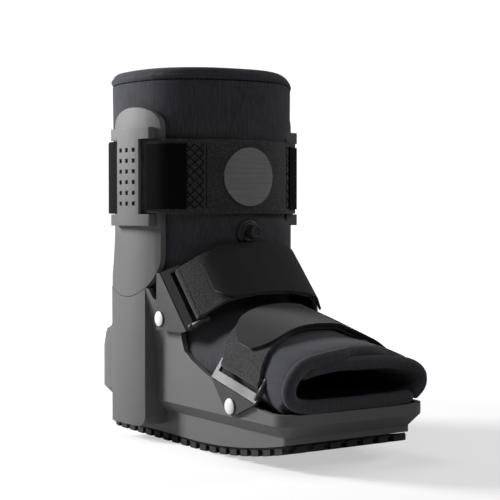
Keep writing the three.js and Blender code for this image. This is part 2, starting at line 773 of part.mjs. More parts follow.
// A bracket, or with room round it, the space that it presses into the padding.
function makeBracket(row, way, room) {
  const { plane, plateX, edge } = strapLayout(row);
  const ends = [1, -1].map((end) => edge.clone().addScaledVector(plane.width, (end * frameLength) / 2));
  const corners = [
    ...row.plate.map(([reach, rise]) => new THREE.Vector2(reach * toeReach, rise * bootHeight)),
    new THREE.Vector2(ends[1].y, ends[1].z),
    new THREE.Vector2(ends[0].y, ends[0].z),
  ];
  const inner = way < 0 ? -plateX - bracketThickness : plateX;
  const plate = sideSlab(new THREE.Shape(corners), inner - room, inner + bracketThickness + room);
  const half = frameLength / 2 + room;
  const far = frameDepth + frameRod / 2 + room;
  const frame = new THREE.Shape();
  frame.moveTo(-half, 0).lineTo(half, 0).lineTo(half, far).lineTo(-half, far);
  const slot = new THREE.Path();
  const slotFar = frameDepth - frameRod / 2;
  slot.moveTo(-half + frameRod, slotFar - frameSlot).lineTo(-half + frameRod, slotFar);
  slot.lineTo(half - frameRod, slotFar).lineTo(half - frameRod, slotFar - frameSlot);
  if (room === 0) {
    frame.holes.push(slot);
  }
  const depth = bracketThickness + 2 * room;
  const geometry = new THREE.ExtrudeGeometry(frame, { depth, bevelEnabled: false });
  const deep = plane.outward.clone().multiplyScalar(Math.cos(row.frameTurn));
  deep.x = -way * Math.sin(row.frameTurn);
  const out = plane.width.clone().cross(deep);
  geometry.translate(0, 0, -depth / 2);
  const turn = new THREE.Matrix4().makeBasis(plane.width, deep, out);
  const start = edge.clone();
  start.x = way * (plateX + bracketThickness / 2);
  geometry.applyMatrix4(turn.setPosition(start));
  return plate.add(solidOf(geometry)).subtract(pinHole(row, way, shankRadius + gap));
}

function makeRivet(row, way) {
  const { rivet, plateX } = strapLayout(row);
  const place = new THREE.Vector3(way * (plateX + bracketThickness + gap), rivet.y, rivet.z);
  const shank = bracketThickness + 2 * gap + wall * 0.9;
  return turned([
    [0, -shank],
    [shankRadius, -shank],
    [shankRadius, 0],
    [rivetRadius, 0],
    [rivetRadius, rivetDome * 0.4],
    [rivetRadius * 0.7, rivetDome * 0.85],
    [0, rivetDome],
  ], place, new THREE.Vector3(way, 0, 0), 14);
}

// Stations of a foot strap from the left rod over the liner to the right rod.
function footStations(row) {
  const { plane, rodX, rodRise, rodMiddle } = strapLayout(row);
  const middle = rodMiddle + (row.topSlide * toeReach) / 2;
  const points = crossedPoints(plane, middle, flapWidth / 2).filter((p) => Math.abs(p.x) < rodX);
  const rodTop = rodRise + frameRod / 2;
  points.push(new THREE.Vector2(-rodX, rodTop), new THREE.Vector2(rodX, rodTop));
  return stationsAlong(upperHull(points), 30, false);
}

const dents = [];
for (const row of footStraps) {
  const { plane, rodMiddle } = strapLayout(row);
  const stations = footStations(row);
  const middle = (share) => rodMiddle + row.topSlide * toeReach * Math.sin(Math.PI * share);
  const base = strapSolid(stations, plane, gap, strapOuter, middle, steady(footWebbing / 2), false);
  addPiece(`${row.name}_strap`, base, strapBlack);
  dents.push(strapSolid(stations, plane, 0, strapOuter, middle, steady(footWebbing / 2 + gap), false));
  const flapStations = stations.filter((station) => station.share >= row.flapStart);
  const lengthTo = (share) => (share - row.flapStart) * 2.2 * legHalfWidth;
  const flapHalf = (share) => {
    const left = Math.max(flapEndRadius - lengthTo(share), 0);
    return (flapWidth / 2) * Math.max(Math.sqrt(1 - (left / flapEndRadius) ** 2), 0.3);
  };
  const flapInner = strapOuter + gap;
  const flap = strapSolid(flapStations, plane, flapInner, flapInner + flapThickness, middle, flapHalf, false);
  addPiece(`${row.name}_flap`, flap, strapBlack);
  for (const side of sides) {
    addPiece(`${row.name}_bracket_${side.name}`, makeBracket(row, side.way, 0), clipGrey);
    dents.push(makeBracket(row, side.way, gap));
    addPiece(`${row.name}_rivet_${side.name}`, makeRivet(row, side.way), rivetWhite);
  }
}

// The moulding has a flat pad behind each bracket's plate, and a hole for its rivet.
function bracketPad(row, way) {
  const { plateX, edge, plane } = strapLayout(row);
  const edgeReach = (frameLength / 2) * plane.width.y;
  const reaches = row.plate.map((corner) => corner[0] * toeReach);
  reaches.push(edge.y - edgeReach, edge.y + edgeReach);
  const lowest = Math.min(...row.plate.map((corner) => corner[1])) * bootHeight;
  const [front, rear] = [Math.min(...reaches) - gap, Math.max(...reaches) + gap];
  const inner = way < 0 ? -plateX - legHalfWidth : plateX - gap;
  return box(inner, inner + legHalfWidth + gap, front, rear, lowest - gap, uprightTop);
}

let shell = makeShell();
for (const row of footStraps) {
  for (const side of sides) {
    shell = shell.subtract(bracketPad(row, side.way)).subtract(pinHole(row, side.way, shankRadius + gap));
  }
}
addPiece('boot_shell', shell, shellGrey);

// The padding gives way where a strap or its bracket presses into it.
let liner = makeLiner();
for (const dent of dents) {
  liner = liner.subtract(dent);
}
addPiece('liner', liner, linerNavy);

export default boot;
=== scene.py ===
# %% [markdown]
# A medical walking boot: a stiff grey shell with a black rocker tread, a padded fabric liner
# that the leg goes into, and three straps that hold it shut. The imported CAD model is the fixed
# frame. Mouldings and straps keep their CAD shape and get rounded edges, with a grain or a nap. The
# liner is made anew over its CAD solid, because padded cloth needs swelling, seams and hems.

# %% Load the frame
import json
import math

import bmesh
import bpy
from mathutils import Matrix, Vector
from mathutils.bvhtree import BVHTree

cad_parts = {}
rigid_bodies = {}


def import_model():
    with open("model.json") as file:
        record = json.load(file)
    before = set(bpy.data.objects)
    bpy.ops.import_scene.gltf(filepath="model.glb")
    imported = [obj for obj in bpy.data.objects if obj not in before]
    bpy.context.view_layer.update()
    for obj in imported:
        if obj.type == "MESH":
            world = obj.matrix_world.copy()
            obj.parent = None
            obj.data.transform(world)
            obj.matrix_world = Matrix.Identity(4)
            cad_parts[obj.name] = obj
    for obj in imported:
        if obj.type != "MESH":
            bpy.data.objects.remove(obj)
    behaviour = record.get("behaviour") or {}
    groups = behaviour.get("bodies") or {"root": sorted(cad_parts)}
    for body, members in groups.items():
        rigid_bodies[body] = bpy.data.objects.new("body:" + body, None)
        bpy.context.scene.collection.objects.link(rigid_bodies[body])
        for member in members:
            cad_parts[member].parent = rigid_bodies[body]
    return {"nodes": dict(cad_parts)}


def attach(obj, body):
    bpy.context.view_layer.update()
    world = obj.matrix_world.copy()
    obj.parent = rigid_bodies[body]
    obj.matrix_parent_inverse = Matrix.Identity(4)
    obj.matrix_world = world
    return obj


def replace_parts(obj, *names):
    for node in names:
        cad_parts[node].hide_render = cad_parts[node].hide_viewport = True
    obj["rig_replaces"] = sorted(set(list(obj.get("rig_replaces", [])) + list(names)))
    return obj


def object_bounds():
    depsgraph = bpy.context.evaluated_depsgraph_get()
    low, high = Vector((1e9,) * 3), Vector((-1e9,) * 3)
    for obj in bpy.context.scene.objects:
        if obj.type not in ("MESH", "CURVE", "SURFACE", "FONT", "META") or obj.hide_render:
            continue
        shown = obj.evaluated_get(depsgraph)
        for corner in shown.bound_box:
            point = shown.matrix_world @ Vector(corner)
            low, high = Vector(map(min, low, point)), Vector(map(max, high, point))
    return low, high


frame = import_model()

cad_low, cad_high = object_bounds()
bpy.context.scene.view_settings.view_transform = "Standard"
print("the CAD box is", [round(v, 3) for v in (*cad_low, *cad_high)])

# %% [markdown]
# The leg axis is the natural centre of a boot, but the frame's origin is under the middle of the
# whole outline. Sizes below are in millimetres from the leg axis, toe towards minus Y, and one
# helper turns them into metres in the frame.

# %% Places in millimetres from the leg axis
HEEL_REACH = 93
leg_axis_y = cad_high.y - HEEL_REACH / 1000


def place(x, y, z):
    return Vector((x / 1000, y / 1000 + leg_axis_y, z / 1000))


def mm(value):
    return value / 1000


# %% [markdown]
# The photograph looks at the boot from its toe side, 33 degrees to the left, from a little above
# the middle of its height. A long lens from one metre keeps the uprights parallel.

# %% Camera
CAMERA_AZIMUTH = math.radians(-33)
CAMERA_DISTANCE = 1000
CAMERA_HEIGHT = 157.5
CAMERA_YAW = math.radians(2.13)
CAMERA_PITCH = math.radians(-1.46)

camera = bpy.data.objects.new("camera", bpy.data.cameras.new("camera"))
bpy.context.scene.collection.objects.link(camera)
camera.location = place(
    CAMERA_DISTANCE * math.sin(CAMERA_AZIMUTH),
    -CAMERA_DISTANCE * math.cos(CAMERA_AZIMUTH),
    CAMERA_HEIGHT,
)
camera.rotation_euler = (math.pi / 2 + CAMERA_PITCH, 0, CAMERA_AZIMUTH - CAMERA_YAW)
camera.data.sensor_width = 36
camera.data.lens = 98.6
camera.data.clip_start, camera.data.clip_end = 0.05, 20
bpy.context.scene.camera = camera
print("the camera stands at", [round(v, 3) for v in camera.location])

# %% [markdown]
# The photograph has a white ground. Its main light stands behind the boot on the left, because faces
# that turn even a little towards the camera are much darker than those that turn away. Three weaker
# ones, overhead, on the right and in front, open the shade. The ground is bright for the camera
# only, so that it doesn't fill the shade from below.

# %% Floor, lights and world
def area_light(name, spot, target, size, power):
    data = bpy.data.lights.new(name, "AREA")
    data.shape, data.size, data.energy = "DISK", size, power
    light = bpy.data.objects.new(name, data)
    bpy.context.scene.collection.objects.link(light)
    light.location = spot
    light.rotation_euler = (Vector(target) - Vector(spot)).to_track_quat("-Z", "Y").to_euler()
    return light


area_light("rear_left_light", (-0.66, 0.76, 0.56), (0, 0.04, 0.14), 0.4, 18)
area_light("top_light", (-0.15, 0.3, 1.6), (0, 0, 0), 0.8, 4.5)
area_light("right_light", (1.15, -0.25, 0.75), (0, 0, 0.16), 0.5, 3.5)
area_light("front_light", (0.3, -1.4, 1.3), (0, 0, 0.2), 0.7, 4)


def lit_for_camera(name, tree_owner, base_strength, seen_strength=None):
    """A strength that is one value to the camera and another to everything else."""
    nodes, links = tree_owner.node_tree.nodes, tree_owner.node_tree.links
    path = nodes.new("ShaderNodeLightPath")
    level = nodes.new("ShaderNodeMapRange")
    level.name = name
    level.inputs["To Min"].default_value = base_strength
    if seen_strength is not None:
        level.inputs["To Max"].default_value = seen_strength
    links.new(path.outputs["Is Camera Ray"], level.inputs["Value"])
    return level


world = bpy.data.worlds.new("studio")
bpy.context.scene.world = world
world.use_nodes = True
sky = world.node_tree.nodes["Background"]
sky.inputs["Color"].default_value = (1, 1, 1, 1)
level = lit_for_camera("sky_level", world, 0.045, 1.05)
world.node_tree.links.new(level.outputs["Result"], sky.inputs["Strength"])

floor_mesh = bmesh.new()
bmesh.ops.create_grid(floor_mesh, x_segments=1, y_segments=1, size=12)
floor_data = bpy.data.meshes.new("floor")
floor_mesh.to_mesh(floor_data)
floor_mesh.free()
floor = bpy.data.objects.new("floor", floor_data)
bpy.context.scene.collection.objects.link(floor)
white = bpy.data.materials.new("white_ground")
white.use_nodes = True
ground = white.node_tree.nodes["Principled BSDF"]
ground.inputs["Base Color"].default_value = (0.55, 0.55, 0.55, 1)
ground.inputs["Roughness"].default_value = 1
ground.inputs["Specular IOR Level"].default_value = 0
ground.inputs["Emission Color"].default_value = (1, 1, 1, 1)
level = lit_for_camera("ground_level", white, 0.0)
links = white.node_tree.links
where = white.node_tree.nodes.new("ShaderNodeTexCoord")
reach = white.node_tree.nodes.new("ShaderNodeVectorMath")
reach.operation = "LENGTH"
links.new(where.outputs["Object"], reach.inputs[0])
# The ground's camera-seen glow is 0.5 near the boot and 1.05 far off. This paints shade round the boot
# and paints light that keeps the far ground white.
painted_ground_shade = white.node_tree.nodes.new("ShaderNodeMapRange")
painted_ground_shade.inputs["From Min"].default_value = 0.25
painted_ground_shade.inputs["From Max"].default_value = 0.9
painted_ground_shade.inputs["To Min"].default_value = 0.5
painted_ground_shade.inputs["To Max"].default_value = 1.05
links.new(reach.outputs["Value"], painted_ground_shade.inputs["Value"])
links.new(painted_ground_shade.outputs["Result"], level.inputs["To Max"])
links.new(level.outputs["Result"], ground.inputs["Emission Strength"])
floor_data.materials.append(white)

# %% [markdown]
# Several plastics share one effect, a fine moulded grain, and several cloths share one, a nap of
# short fibres. Each is a node group that puts out a colour and a normal, so a material only picks
# its own values.

# %% Node helpers and the shared groups
def socket(group, name, kind, way, value=None):
    made = group.interface.new_socket(name=name, in_out=way, socket_type=kind)
    if value is not None:
        made.default_value = value
    return made


def new_group(name):
    group = bpy.data.node_groups.new(name, "ShaderNodeTree")
    return group, group.nodes.new("NodeGroupInput"), group.nodes.new("NodeGroupOutput")


def grain_group():
    group, given, put = new_group("moulded_grain")
    socket(group, "Color", "NodeSocketColor", "INPUT", (0.15, 0.15, 0.15, 1))
    socket(group, "Grain Scale", "NodeSocketFloat", "INPUT", 1400.0)
    socket(group, "Grain Depth", "NodeSocketFloat", "INPUT", 0.1)
    socket(group, "Mottle", "NodeSocketFloat", "INPUT", 0.05)
    socket(group, "Color", "NodeSocketColor", "OUTPUT")
    socket(group, "Roughness", "NodeSocketFloat", "OUTPUT")
    socket(group, "Normal", "NodeSocketVector", "OUTPUT")
    n, l = group.nodes, group.links
    coords = n.new("ShaderNodeTexCoord")
    grain = n.new("ShaderNodeTexNoise")
    grain.inputs["Detail"].default_value = 3
    l.new(coords.outputs["Object"], grain.inputs["Vector"])
    l.new(given.outputs["Grain Scale"], grain.inputs["Scale"])
    bump = n.new("ShaderNodeBump")
    bump.inputs["Distance"].default_value = 0.0006
    l.new(given.outputs["Grain Depth"], bump.inputs["Strength"])
    l.new(grain.outputs["Fac"], bump.inputs["Height"])
    cloud = n.new("ShaderNodeTexNoise")
    cloud.inputs["Scale"].default_value = 38
    cloud.inputs["Detail"].default_value = 5
    l.new(coords.outputs["Object"], cloud.inputs["Vector"])
    rough = n.new("ShaderNodeMapRange")
    rough.inputs["To Min"].default_value = 0.42
    rough.inputs["To Max"].default_value = 0.62
    l.new(cloud.outputs["Fac"], rough.inputs["Value"])
    centred = n.new("ShaderNodeMath")
    centred.operation = "SUBTRACT"
    centred.inputs[1].default_value = 0.5
    l.new(cloud.outputs["Fac"], centred.inputs[0])
    amount = n.new("ShaderNodeMath")
    amount.operation = "MULTIPLY_ADD"
    amount.inputs[2].default_value = 1
    l.new(centred.outputs[0], amount.inputs[0])
    l.new(given.outputs["Mottle"], amount.inputs[1])
    tint = n.new("ShaderNodeVectorMath")
    tint.operation = "SCALE"
    l.new(given.outputs["Color"], tint.inputs[0])
    l.new(amount.outputs[0], tint.inputs["Scale"])
    l.new(tint.outputs["Vector"], put.inputs["Color"])
    l.new(rough.outputs["Result"], put.inputs["Roughness"])
    l.new(bump.outputs["Normal"], put.inputs["Normal"])
    return group


def nap_group():
    group, given, put = new_group("cloth_nap")
    socket(group, "Color", "NodeSocketColor", "INPUT", (0.03, 0.03, 0.04, 1))
    socket(group, "Fibre Color", "NodeSocketColor", "INPUT", (0.1, 0.1, 0.12, 1))
    socket(group, "Stretch", "NodeSocketVector", "INPUT", (900.0, 900.0, 90.0))
    socket(group, "Coordinates", "NodeSocketVector", "INPUT")
    socket(group, "Fibre Depth", "NodeSocketFloat", "INPUT", 0.6)
    socket(group, "Fibre Share", "NodeSocketFloat", "INPUT", 0.5)
    socket(group, "Color", "NodeSocketColor", "OUTPUT")
    socket(group, "Normal", "NodeSocketVector", "OUTPUT")
    n, l = group.nodes, group.links
    scale = n.new("ShaderNodeVectorMath")
    scale.operation = "MULTIPLY"
    l.new(given.outputs["Coordinates"], scale.inputs[0])
    l.new(given.outputs["Stretch"], scale.inputs[1])
    fibre = n.new("ShaderNodeTexNoise")
    fibre.inputs["Scale"].default_value = 1
    fibre.inputs["Detail"].default_value = 4
    fibre.inputs["Roughness"].default_value = 0.62
    l.new(scale.outputs["Vector"], fibre.inputs["Vector"])
    wide = n.new("ShaderNodeTexNoise")
    wide.inputs["Scale"].default_value = 55
    wide.inputs["Detail"].default_value = 3
    l.new(given.outputs["Coordinates"], wide.inputs["Vector"])
    mask = n.new("ShaderNodeMapRange")
    mask.inputs["From Min"].default_value = 0.38
    mask.inputs["From Max"].default_value = 0.72
    l.new(fibre.outputs["Fac"], mask.inputs["Value"])
    share = n.new("ShaderNodeMath")
    share.operation = "MULTIPLY"
    l.new(mask.outputs["Result"], share.inputs[0])
    l.new(given.outputs["Fibre Share"], share.inputs[1])
    worn = n.new("ShaderNodeMath")
    worn.operation = "MULTIPLY_ADD"
    worn.use_clamp = True
    worn.inputs[1].default_value = 0.25
    l.new(wide.outputs["Fac"], worn.inputs[0])
    l.new(share.outputs[0], worn.inputs[2])
    mix = n.new("ShaderNodeMix")
    mix.data_type = "RGBA"
    l.new(worn.outputs[0], mix.inputs["Factor"])
    l.new(given.outputs["Color"], mix.inputs["A"])
    l.new(given.outputs["Fibre Color"], mix.inputs["B"])
    bump = n.new("ShaderNodeBump")
    bump.inputs["Distance"].default_value = 0.0008
    l.new(given.outputs["Fibre Depth"], bump.inputs["Strength"])
    l.new(fibre.outputs["Fac"], bump.inputs["Height"])
    l.new(mix.outputs["Result"], put.inputs["Color"])
    l.new(bump.outputs["Normal"], put.inputs["Normal"])
    return group


moulded_grain = grain_group()
cloth_nap = nap_group()
print("groups:", moulded_grain.name, cloth_nap.name)

# %% [markdown]
# Each finish is one material: shell and fitting grey, the same fitting grey darkened for the brackets
# as painted shade, white rivet, black tread and valve, liner cloth, loop strap, plain flap, hook tape,
# thread and ribbed disc.
# Plastics differ in grain and colour, cloths in nap.

# %% Materials
def material(name):
    made = bpy.data.materials.new(name)
    made.use_nodes = True
    shader = made.node_tree.nodes["Principled BSDF"]
    return made, made.node_tree.nodes, made.node_tree.links, shader


def plastic(name, color, grain_scale, grain_depth, mottle=0.06):
    made, n, l, shader = material(name)
    grain = n.new("ShaderNodeGroup")
    grain.node_tree = moulded_grain
    grain.inputs["Color"].default_value = (*color, 1)
    grain.inputs["Grain Scale"].default_value = grain_scale
    grain.inputs["Grain Depth"].default_value = grain_depth
    grain.inputs["Mottle"].default_value = mottle
    l.new(grain.outputs["Color"], shader.inputs["Base Color"])
    l.new(grain.outputs["Roughness"], shader.inputs["Roughness"])
    l.new(grain.outputs["Normal"], shader.inputs["Normal"])
    return made


def cloth(name, color, fibre_color, stretch, depth, share, sheen=0.2):
    made, n, l, shader = material(name)
    nap = n.new("ShaderNodeGroup")
    nap.node_tree = cloth_nap
    nap.inputs["Color"].default_value = (*color, 1)
    nap.inputs["Fibre Color"].default_value = (*fibre_color, 1)
    nap.inputs["Stretch"].default_value = stretch
    nap.inputs["Fibre Depth"].default_value = depth
    nap.inputs["Fibre Share"].default_value = share
    where = n.new("ShaderNodeTexCoord")
    l.new(where.outputs["Object"], nap.inputs["Coordinates"])
    l.new(nap.outputs["Color"], shader.inputs["Base Color"])
    l.new(nap.outputs["Normal"], shader.inputs["Normal"])
    shader.inputs["Roughness"].default_value = 0.95
    shader.inputs["Specular IOR Level"].default_value = 0.15
    shader.inputs["Sheen Weight"].default_value = sheen
    shader.inputs["Sheen Roughness"].default_value = 0.4
    return made


shell_grey = plastic("shell_grey", (0.122, 0.123, 0.126), 1500, 0.12)
fitting_grey = plastic("fitting_grey", (0.108, 0.109, 0.111), 1800, 0.08)
# The brackets' frames face away from the light, so their grey is the fitting grey darkened as painted
# shade; the end bars share it.
shaded_bracket_grey = plastic("shaded_bracket_grey", (0.034, 0.0344, 0.0352), 1800, 0.08)
rivet_white = plastic("rivet_white", (0.86, 0.86, 0.86), 2000, 0.03, 0.02)
tread_black = plastic("tread_black", (0.011, 0.011, 0.012), 1100, 0.3, 0.2)
valve_black = plastic("valve_black", (0.024, 0.025, 0.027), 1800, 0.08)
liner_cloth = cloth(
    "liner_cloth", (0.025, 0.0255, 0.032), (0.110, 0.112, 0.130), (3600, 3600, 90), 0.22, 0.55, 0.12
)
strap_cloth = cloth(
    "strap_cloth", (0.014, 0.014, 0.015), (0.125, 0.125, 0.130), (1100, 1100, 1100), 0.9, 0.6
)
flap_cloth = cloth(
    "flap_cloth", (0.022, 0.022, 0.024), (0.044, 0.044, 0.046), (1800, 1800, 1800), 0.15, 0.5
)
hook_black = cloth(
    "hook_black", (0.0012, 0.0012, 0.0012), (0.004, 0.004, 0.004), (2200, 2200, 2200), 0.6, 0.5, 0.0
)
thread_black = cloth(
    "thread_black", (0.002, 0.002, 0.002), (0.006, 0.006, 0.006), (2200, 2200, 2200), 0.2, 0.5, 0.0
)
disc_grey = cloth("disc_grey", (0.170, 0.170, 0.174), (0.300, 0.300, 0.306), (30, 30, 4500), 0.25, 0.8)
print("materials:", len(bpy.data.materials))

# %% [markdown]
# Mouldings come out of a mould with small radii on every edge. A copy of each CAD solid is merged,
# its flat faces are joined, and a Bevel modifier rounds the edges, which is quicker and truer than
# modelling each radius by hand.

# %% Copies of the CAD solids
def copy_of(node, name):
    mesh = frame["nodes"][node].data.copy()
    mesh.materials.clear()
    work = bmesh.new()
    work.from_mesh(mesh)
    bmesh.ops.remove_doubles(work, verts=work.verts, dist=mm(0.02))
    bmesh.ops.dissolve_limit(
        work, angle_limit=math.radians(0.8), use_dissolve_boundaries=False,
        verts=work.verts, edges=work.edges, delimit=set(),
    )
    work.to_mesh(mesh)
    work.free()
    piece = bpy.data.objects.new(name, mesh)
    bpy.context.scene.collection.objects.link(piece)
    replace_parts(piece, node)
    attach(piece, "root")
    return piece


def round_edges(piece, radius, segments=2, angle=35):
    bevel = piece.modifiers.new("edges", "BEVEL")
    bevel.width, bevel.segments, bevel.limit_method = mm(radius), segments, "ANGLE"
    bevel.angle_limit = math.radians(angle)
    bevel.harden_normals = False
    piece.data.shade_smooth()
    tidy = piece.modifiers.new("normals", "WEIGHTED_NORMAL")
    tidy.keep_sharp = True
    return piece


def moulded(node, name, finish, slot, radius, segments=2, angle=35):
    piece = copy_of(node, name)
    piece.data.materials.append(finish)
    return round_edges(piece, radius, segments, angle)


MOULDINGS = [
    ("boot_shell", "shell_body", shell_grey, "shell", 0.8, 2, 42),
    ("outsole", "tread", tread_black, "tread", 0.5, 1, 50),
    ("upright_left", "left_upright", shell_grey, "shell", 0.7, 3, 40),
    ("upright_right", "right_upright", shell_grey, "shell", 0.7, 3, 40),
    ("clip_left", "left_clip", fitting_grey, "fitting", 0.35, 2, 40),
    ("clip_right", "right_clip", fitting_grey, "fitting", 0.35, 2, 40),
    ("shin_bracket_left", "left_shin_bracket", shaded_bracket_grey, "fitting", 0.5, 2, 35),
    ("shin_bracket_right", "right_shin_bracket", shaded_bracket_grey, "fitting", 0.5, 2, 35),
    ("foot_bracket_left", "left_foot_bracket", shaded_bracket_grey, "fitting", 0.5, 2, 35),
    ("foot_bracket_right", "right_foot_bracket", shaded_bracket_grey, "fitting", 0.5, 2, 35),
    ("shin_rivet_left", "left_shin_rivet", rivet_white, "rivet", 0.3, 2, 25),
    ("shin_rivet_right", "right_shin_rivet", rivet_white, "rivet", 0.3, 2, 25),
    ("foot_rivet_left", "left_foot_rivet", rivet_white, "rivet", 0.3, 2, 25),
    ("foot_rivet_right", "right_foot_rivet", rivet_white, "rivet", 0.3, 2, 25),
]
for row in MOULDINGS:
    piece = moulded(*row)
    print(piece.name, len(piece.data.polygons), "faces")

# %% [markdown]
# The air valve is turned work, a flange with a raised ring and a knob on a thin neck. It is spun
# from two profiles about the line through the CAD pieces, square to the liner's front.

# %% Air valve
def box_of(node):
    spots = [v.co for v in frame["nodes"][node].data.vertices]
    low = Vector([min(spot[k] for spot in spots) for k in range(3)])
    high = Vector([max(spot[k] for spot in spots) for k in range(3)])
    return low, high


def spun(node, name, profile, finish):
    """A profile of radius and depth shares, spun about the Y line through a CAD piece's middle."""
    low, high = box_of(node)
    radius, depth = (high.x - low.x) / 2, high.y - low.y
    centre = Vector(((low.x + high.x) / 2, high.y, (low.z + high.z) / 2))
    work = bmesh.new()
    line = [work.verts.new(centre + Vector((radius * r, -depth * d, 0))) for r, d in profile]
    edges = [work.edges.new(pair) for pair in zip(line, line[1:])]
    bmesh.ops.spin(
        work, geom=line + edges, cent=centre, axis=(0, 1, 0), angle=math.tau, steps=36,
        use_merge=True, dvec=(0, 0, 0),
    )
    bmesh.ops.remove_doubles(work, verts=work.verts, dist=mm(0.01))
    bmesh.ops.recalc_face_normals(work, faces=work.faces)
    data = bpy.data.meshes.new(name)
    work.to_mesh(data)
    work.free()
    data.materials.append(finish)
    piece = bpy.data.objects.new(name, data)
    bpy.context.scene.collection.objects.link(piece)
    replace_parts(piece, node)
    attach(piece, "root")
    return round_edges(piece, 0.25, 2, 30)


FLANGE = [
    (0, 0), (0.94, 0), (1, 0.2), (1, 0.5), (0.9, 0.72),
    (0.74, 0.72), (0.7, 1), (0.52, 1), (0.48, 0.8), (0, 0.8),
]
KNOB = [
    (0, 0), (0.5, 0), (0.5, 0.3), (0.96, 0.36), (1, 0.45),
    (1, 0.88), (0.9, 1), (0.55, 1), (0.5, 0.93), (0, 0.93),
]
for node, name, profile in (("valve_base", "valve_flange", FLANGE), ("valve_stem", "valve_knob", KNOB)):
    piece = spun(node, name, profile, valve_black)
    print(piece.name, len(piece.data.polygons), "faces")

# %% [markdown]
# Straps are flat webbing pulled tight, so they keep the shape of their CAD solids: a remesh would
# erase so thin a piece. Their edges are rounded, and the calf strap is hook tape behind the clips.

# %% Straps
HOOK_SPAN = (-12, 22)
HOOK_OUTSIDE = 40
STRAPS = [
    ("calf_strap", "calf_band", strap_cloth, "strap", 0.5),
    ("calf_hook_left", "left_hook_patch", hook_black, "hook", 0.2),
    ("calf_hook_right", "right_hook_patch", hook_black, "hook", 0.2),
    ("calf_disc", "ribbed_disc", disc_grey, "disc", 0.3),
    ("shin_strap", "instep_band", strap_cloth, "strap", 0.5),
    ("shin_flap", "instep_flap", flap_cloth, "strap", 0.5),
    ("foot_strap", "forefoot_band", strap_cloth, "strap", 0.5),
    ("foot_flap", "forefoot_flap", flap_cloth, "strap", 0.5),
]
bands = [moulded(*row, segments=2, angle=40) for row in STRAPS]
calf = bands[0].data
calf.materials.append(hook_black)
clip_back = box_of("clip_left")[1].y
for face in calf.polygons:
    behind = face.center.y - clip_back
    if mm(HOOK_SPAN[0]) < behind < mm(HOOK_SPAN[1]) and abs(face.center.x) > mm(HOOK_OUTSIDE):
        face.material_index = 1
print("straps:", [piece.name for piece in bands])

# %% [markdown]
# Each foot strap passes through the slot of its bracket, turns round the outer bar and comes back
# over itself. The turn is a short tube of webbing round that bar. The bar is found on the CAD
# bracket: it is the part that reaches farthest along the frame's own slant. The frame's lower end
# is a thicker round bar with a knob at each end, laid over the flat one of the CAD.

# %% Webbing turned round the bars
LEAN = {"shin": (0.838, 0.9), "foot": (0.245, 0.45)}
WEBBING = 42
BAR_HALF = 1.7
END_BAR_PLACE = 23.3
END_BAR_REACH = (-9, 3)
END_BAR_RADIUS = 2
TURN_RADIUS = 3.6


def bar_of(node, name, side):
    """The middle of a bracket's outer bar, the way along it and the way across the frame."""
    lean, turn = LEAN[name]
    along = Vector((0, math.cos(lean), math.sin(lean)))
    rise = Vector((0, -math.sin(lean), math.cos(lean)))
    deep = rise * math.cos(turn) + Vector((-side * math.sin(turn), 0, 0))
    spots = [v.co for v in frame["nodes"][node].data.vertices]
    far = max(spot.dot(deep) for spot in spots)
    edge = [spot for spot in spots if spot.dot(deep) > far - mm(0.1)]
    low = Vector([min(spot[k] for spot in edge) for k in range(3)])
    high = Vector([max(spot[k] for spot in edge) for k in range(3)])
    return (low + high) / 2 - deep * mm(BAR_HALF), along, deep


def joined_piece(name, work, finish):
    data = bpy.data.meshes.new(name)
    work.to_mesh(data)
    work.free()
    piece = bpy.data.objects.new(name, data)
    bpy.context.scene.collection.objects.link(piece)
    data.materials.append(finish)
    data.shade_smooth()
    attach(piece, "root")
    return piece


def rod(work, start, end, radius, sides=6):
    """A short straight rod between two places, such as a stitch."""
    line = end - start
    spin = line.to_track_quat("Z", "Y").to_matrix().to_4x4()
    spin.translation = (start + end) / 2
    bmesh.ops.create_cone(
        work, cap_ends=True, cap_tris=False, segments=sides,
        radius1=radius, radius2=radius, depth=line.length, matrix=spin,
    )


for name in LEAN:
    for side, word in ((-1, "left"), (1, "right")):
        middle, along, deep = bar_of(f"{name}_bracket_{word}", name, side)
        work = bmesh.new()
        half = along * mm(WEBBING / 2)
        rod(work, middle - half, middle + half, mm(TURN_RADIUS), 20)
        piece = joined_piece(f"{word}_{name}_turn", work, strap_cloth)
        round_edges(piece, 0.6, 2, 50)
        end_bar = middle - along * mm(END_BAR_PLACE)
        ends = [end_bar + deep * mm(reach) for reach in END_BAR_REACH]
        work = bmesh.new()
        rod(work, *ends, mm(END_BAR_RADIUS), 16)
        for spot in ends:
            bmesh.ops.create_uvsphere(
                work, u_segments=16, v_segments=10, radius=mm(END_BAR_RADIUS * 1.15),
                matrix=Matrix.Translation(spot),
            )
        joined_piece(f"{word}_{name}_end_bar", work, shaded_bracket_grey)
        print(piece.name, [round(v, 4) for v in middle])

# %% [markdown]
# Hook tape and loop webbing are sewn to the calf strap with crossed rows of black thread. Every
# stitch is a short rod laid on the strap's outer face, found by a ray towards the leg axis.

# %% Stitches on the calf strap
def neighbours_tree(pieces):
    joined = bmesh.new()
    view = bpy.context.evaluated_depsgraph_get()
    for piece in pieces:
        joined.from_mesh(piece.evaluated_get(view).to_mesh())
    tree = BVHTree.FromBMesh(joined)
    joined.free()
    return tree


def facing(tree, turn, height):
    """The outermost place of a piece at a turn from the toe side, to the right, and a height."""
    way = Vector((math.sin(turn), -math.cos(turn), 0))
    centre = place(0, 0, height)
    hit = tree.ray_cast(centre + way * 0.3, -way, 0.3)
    return hit[0], hit[1]


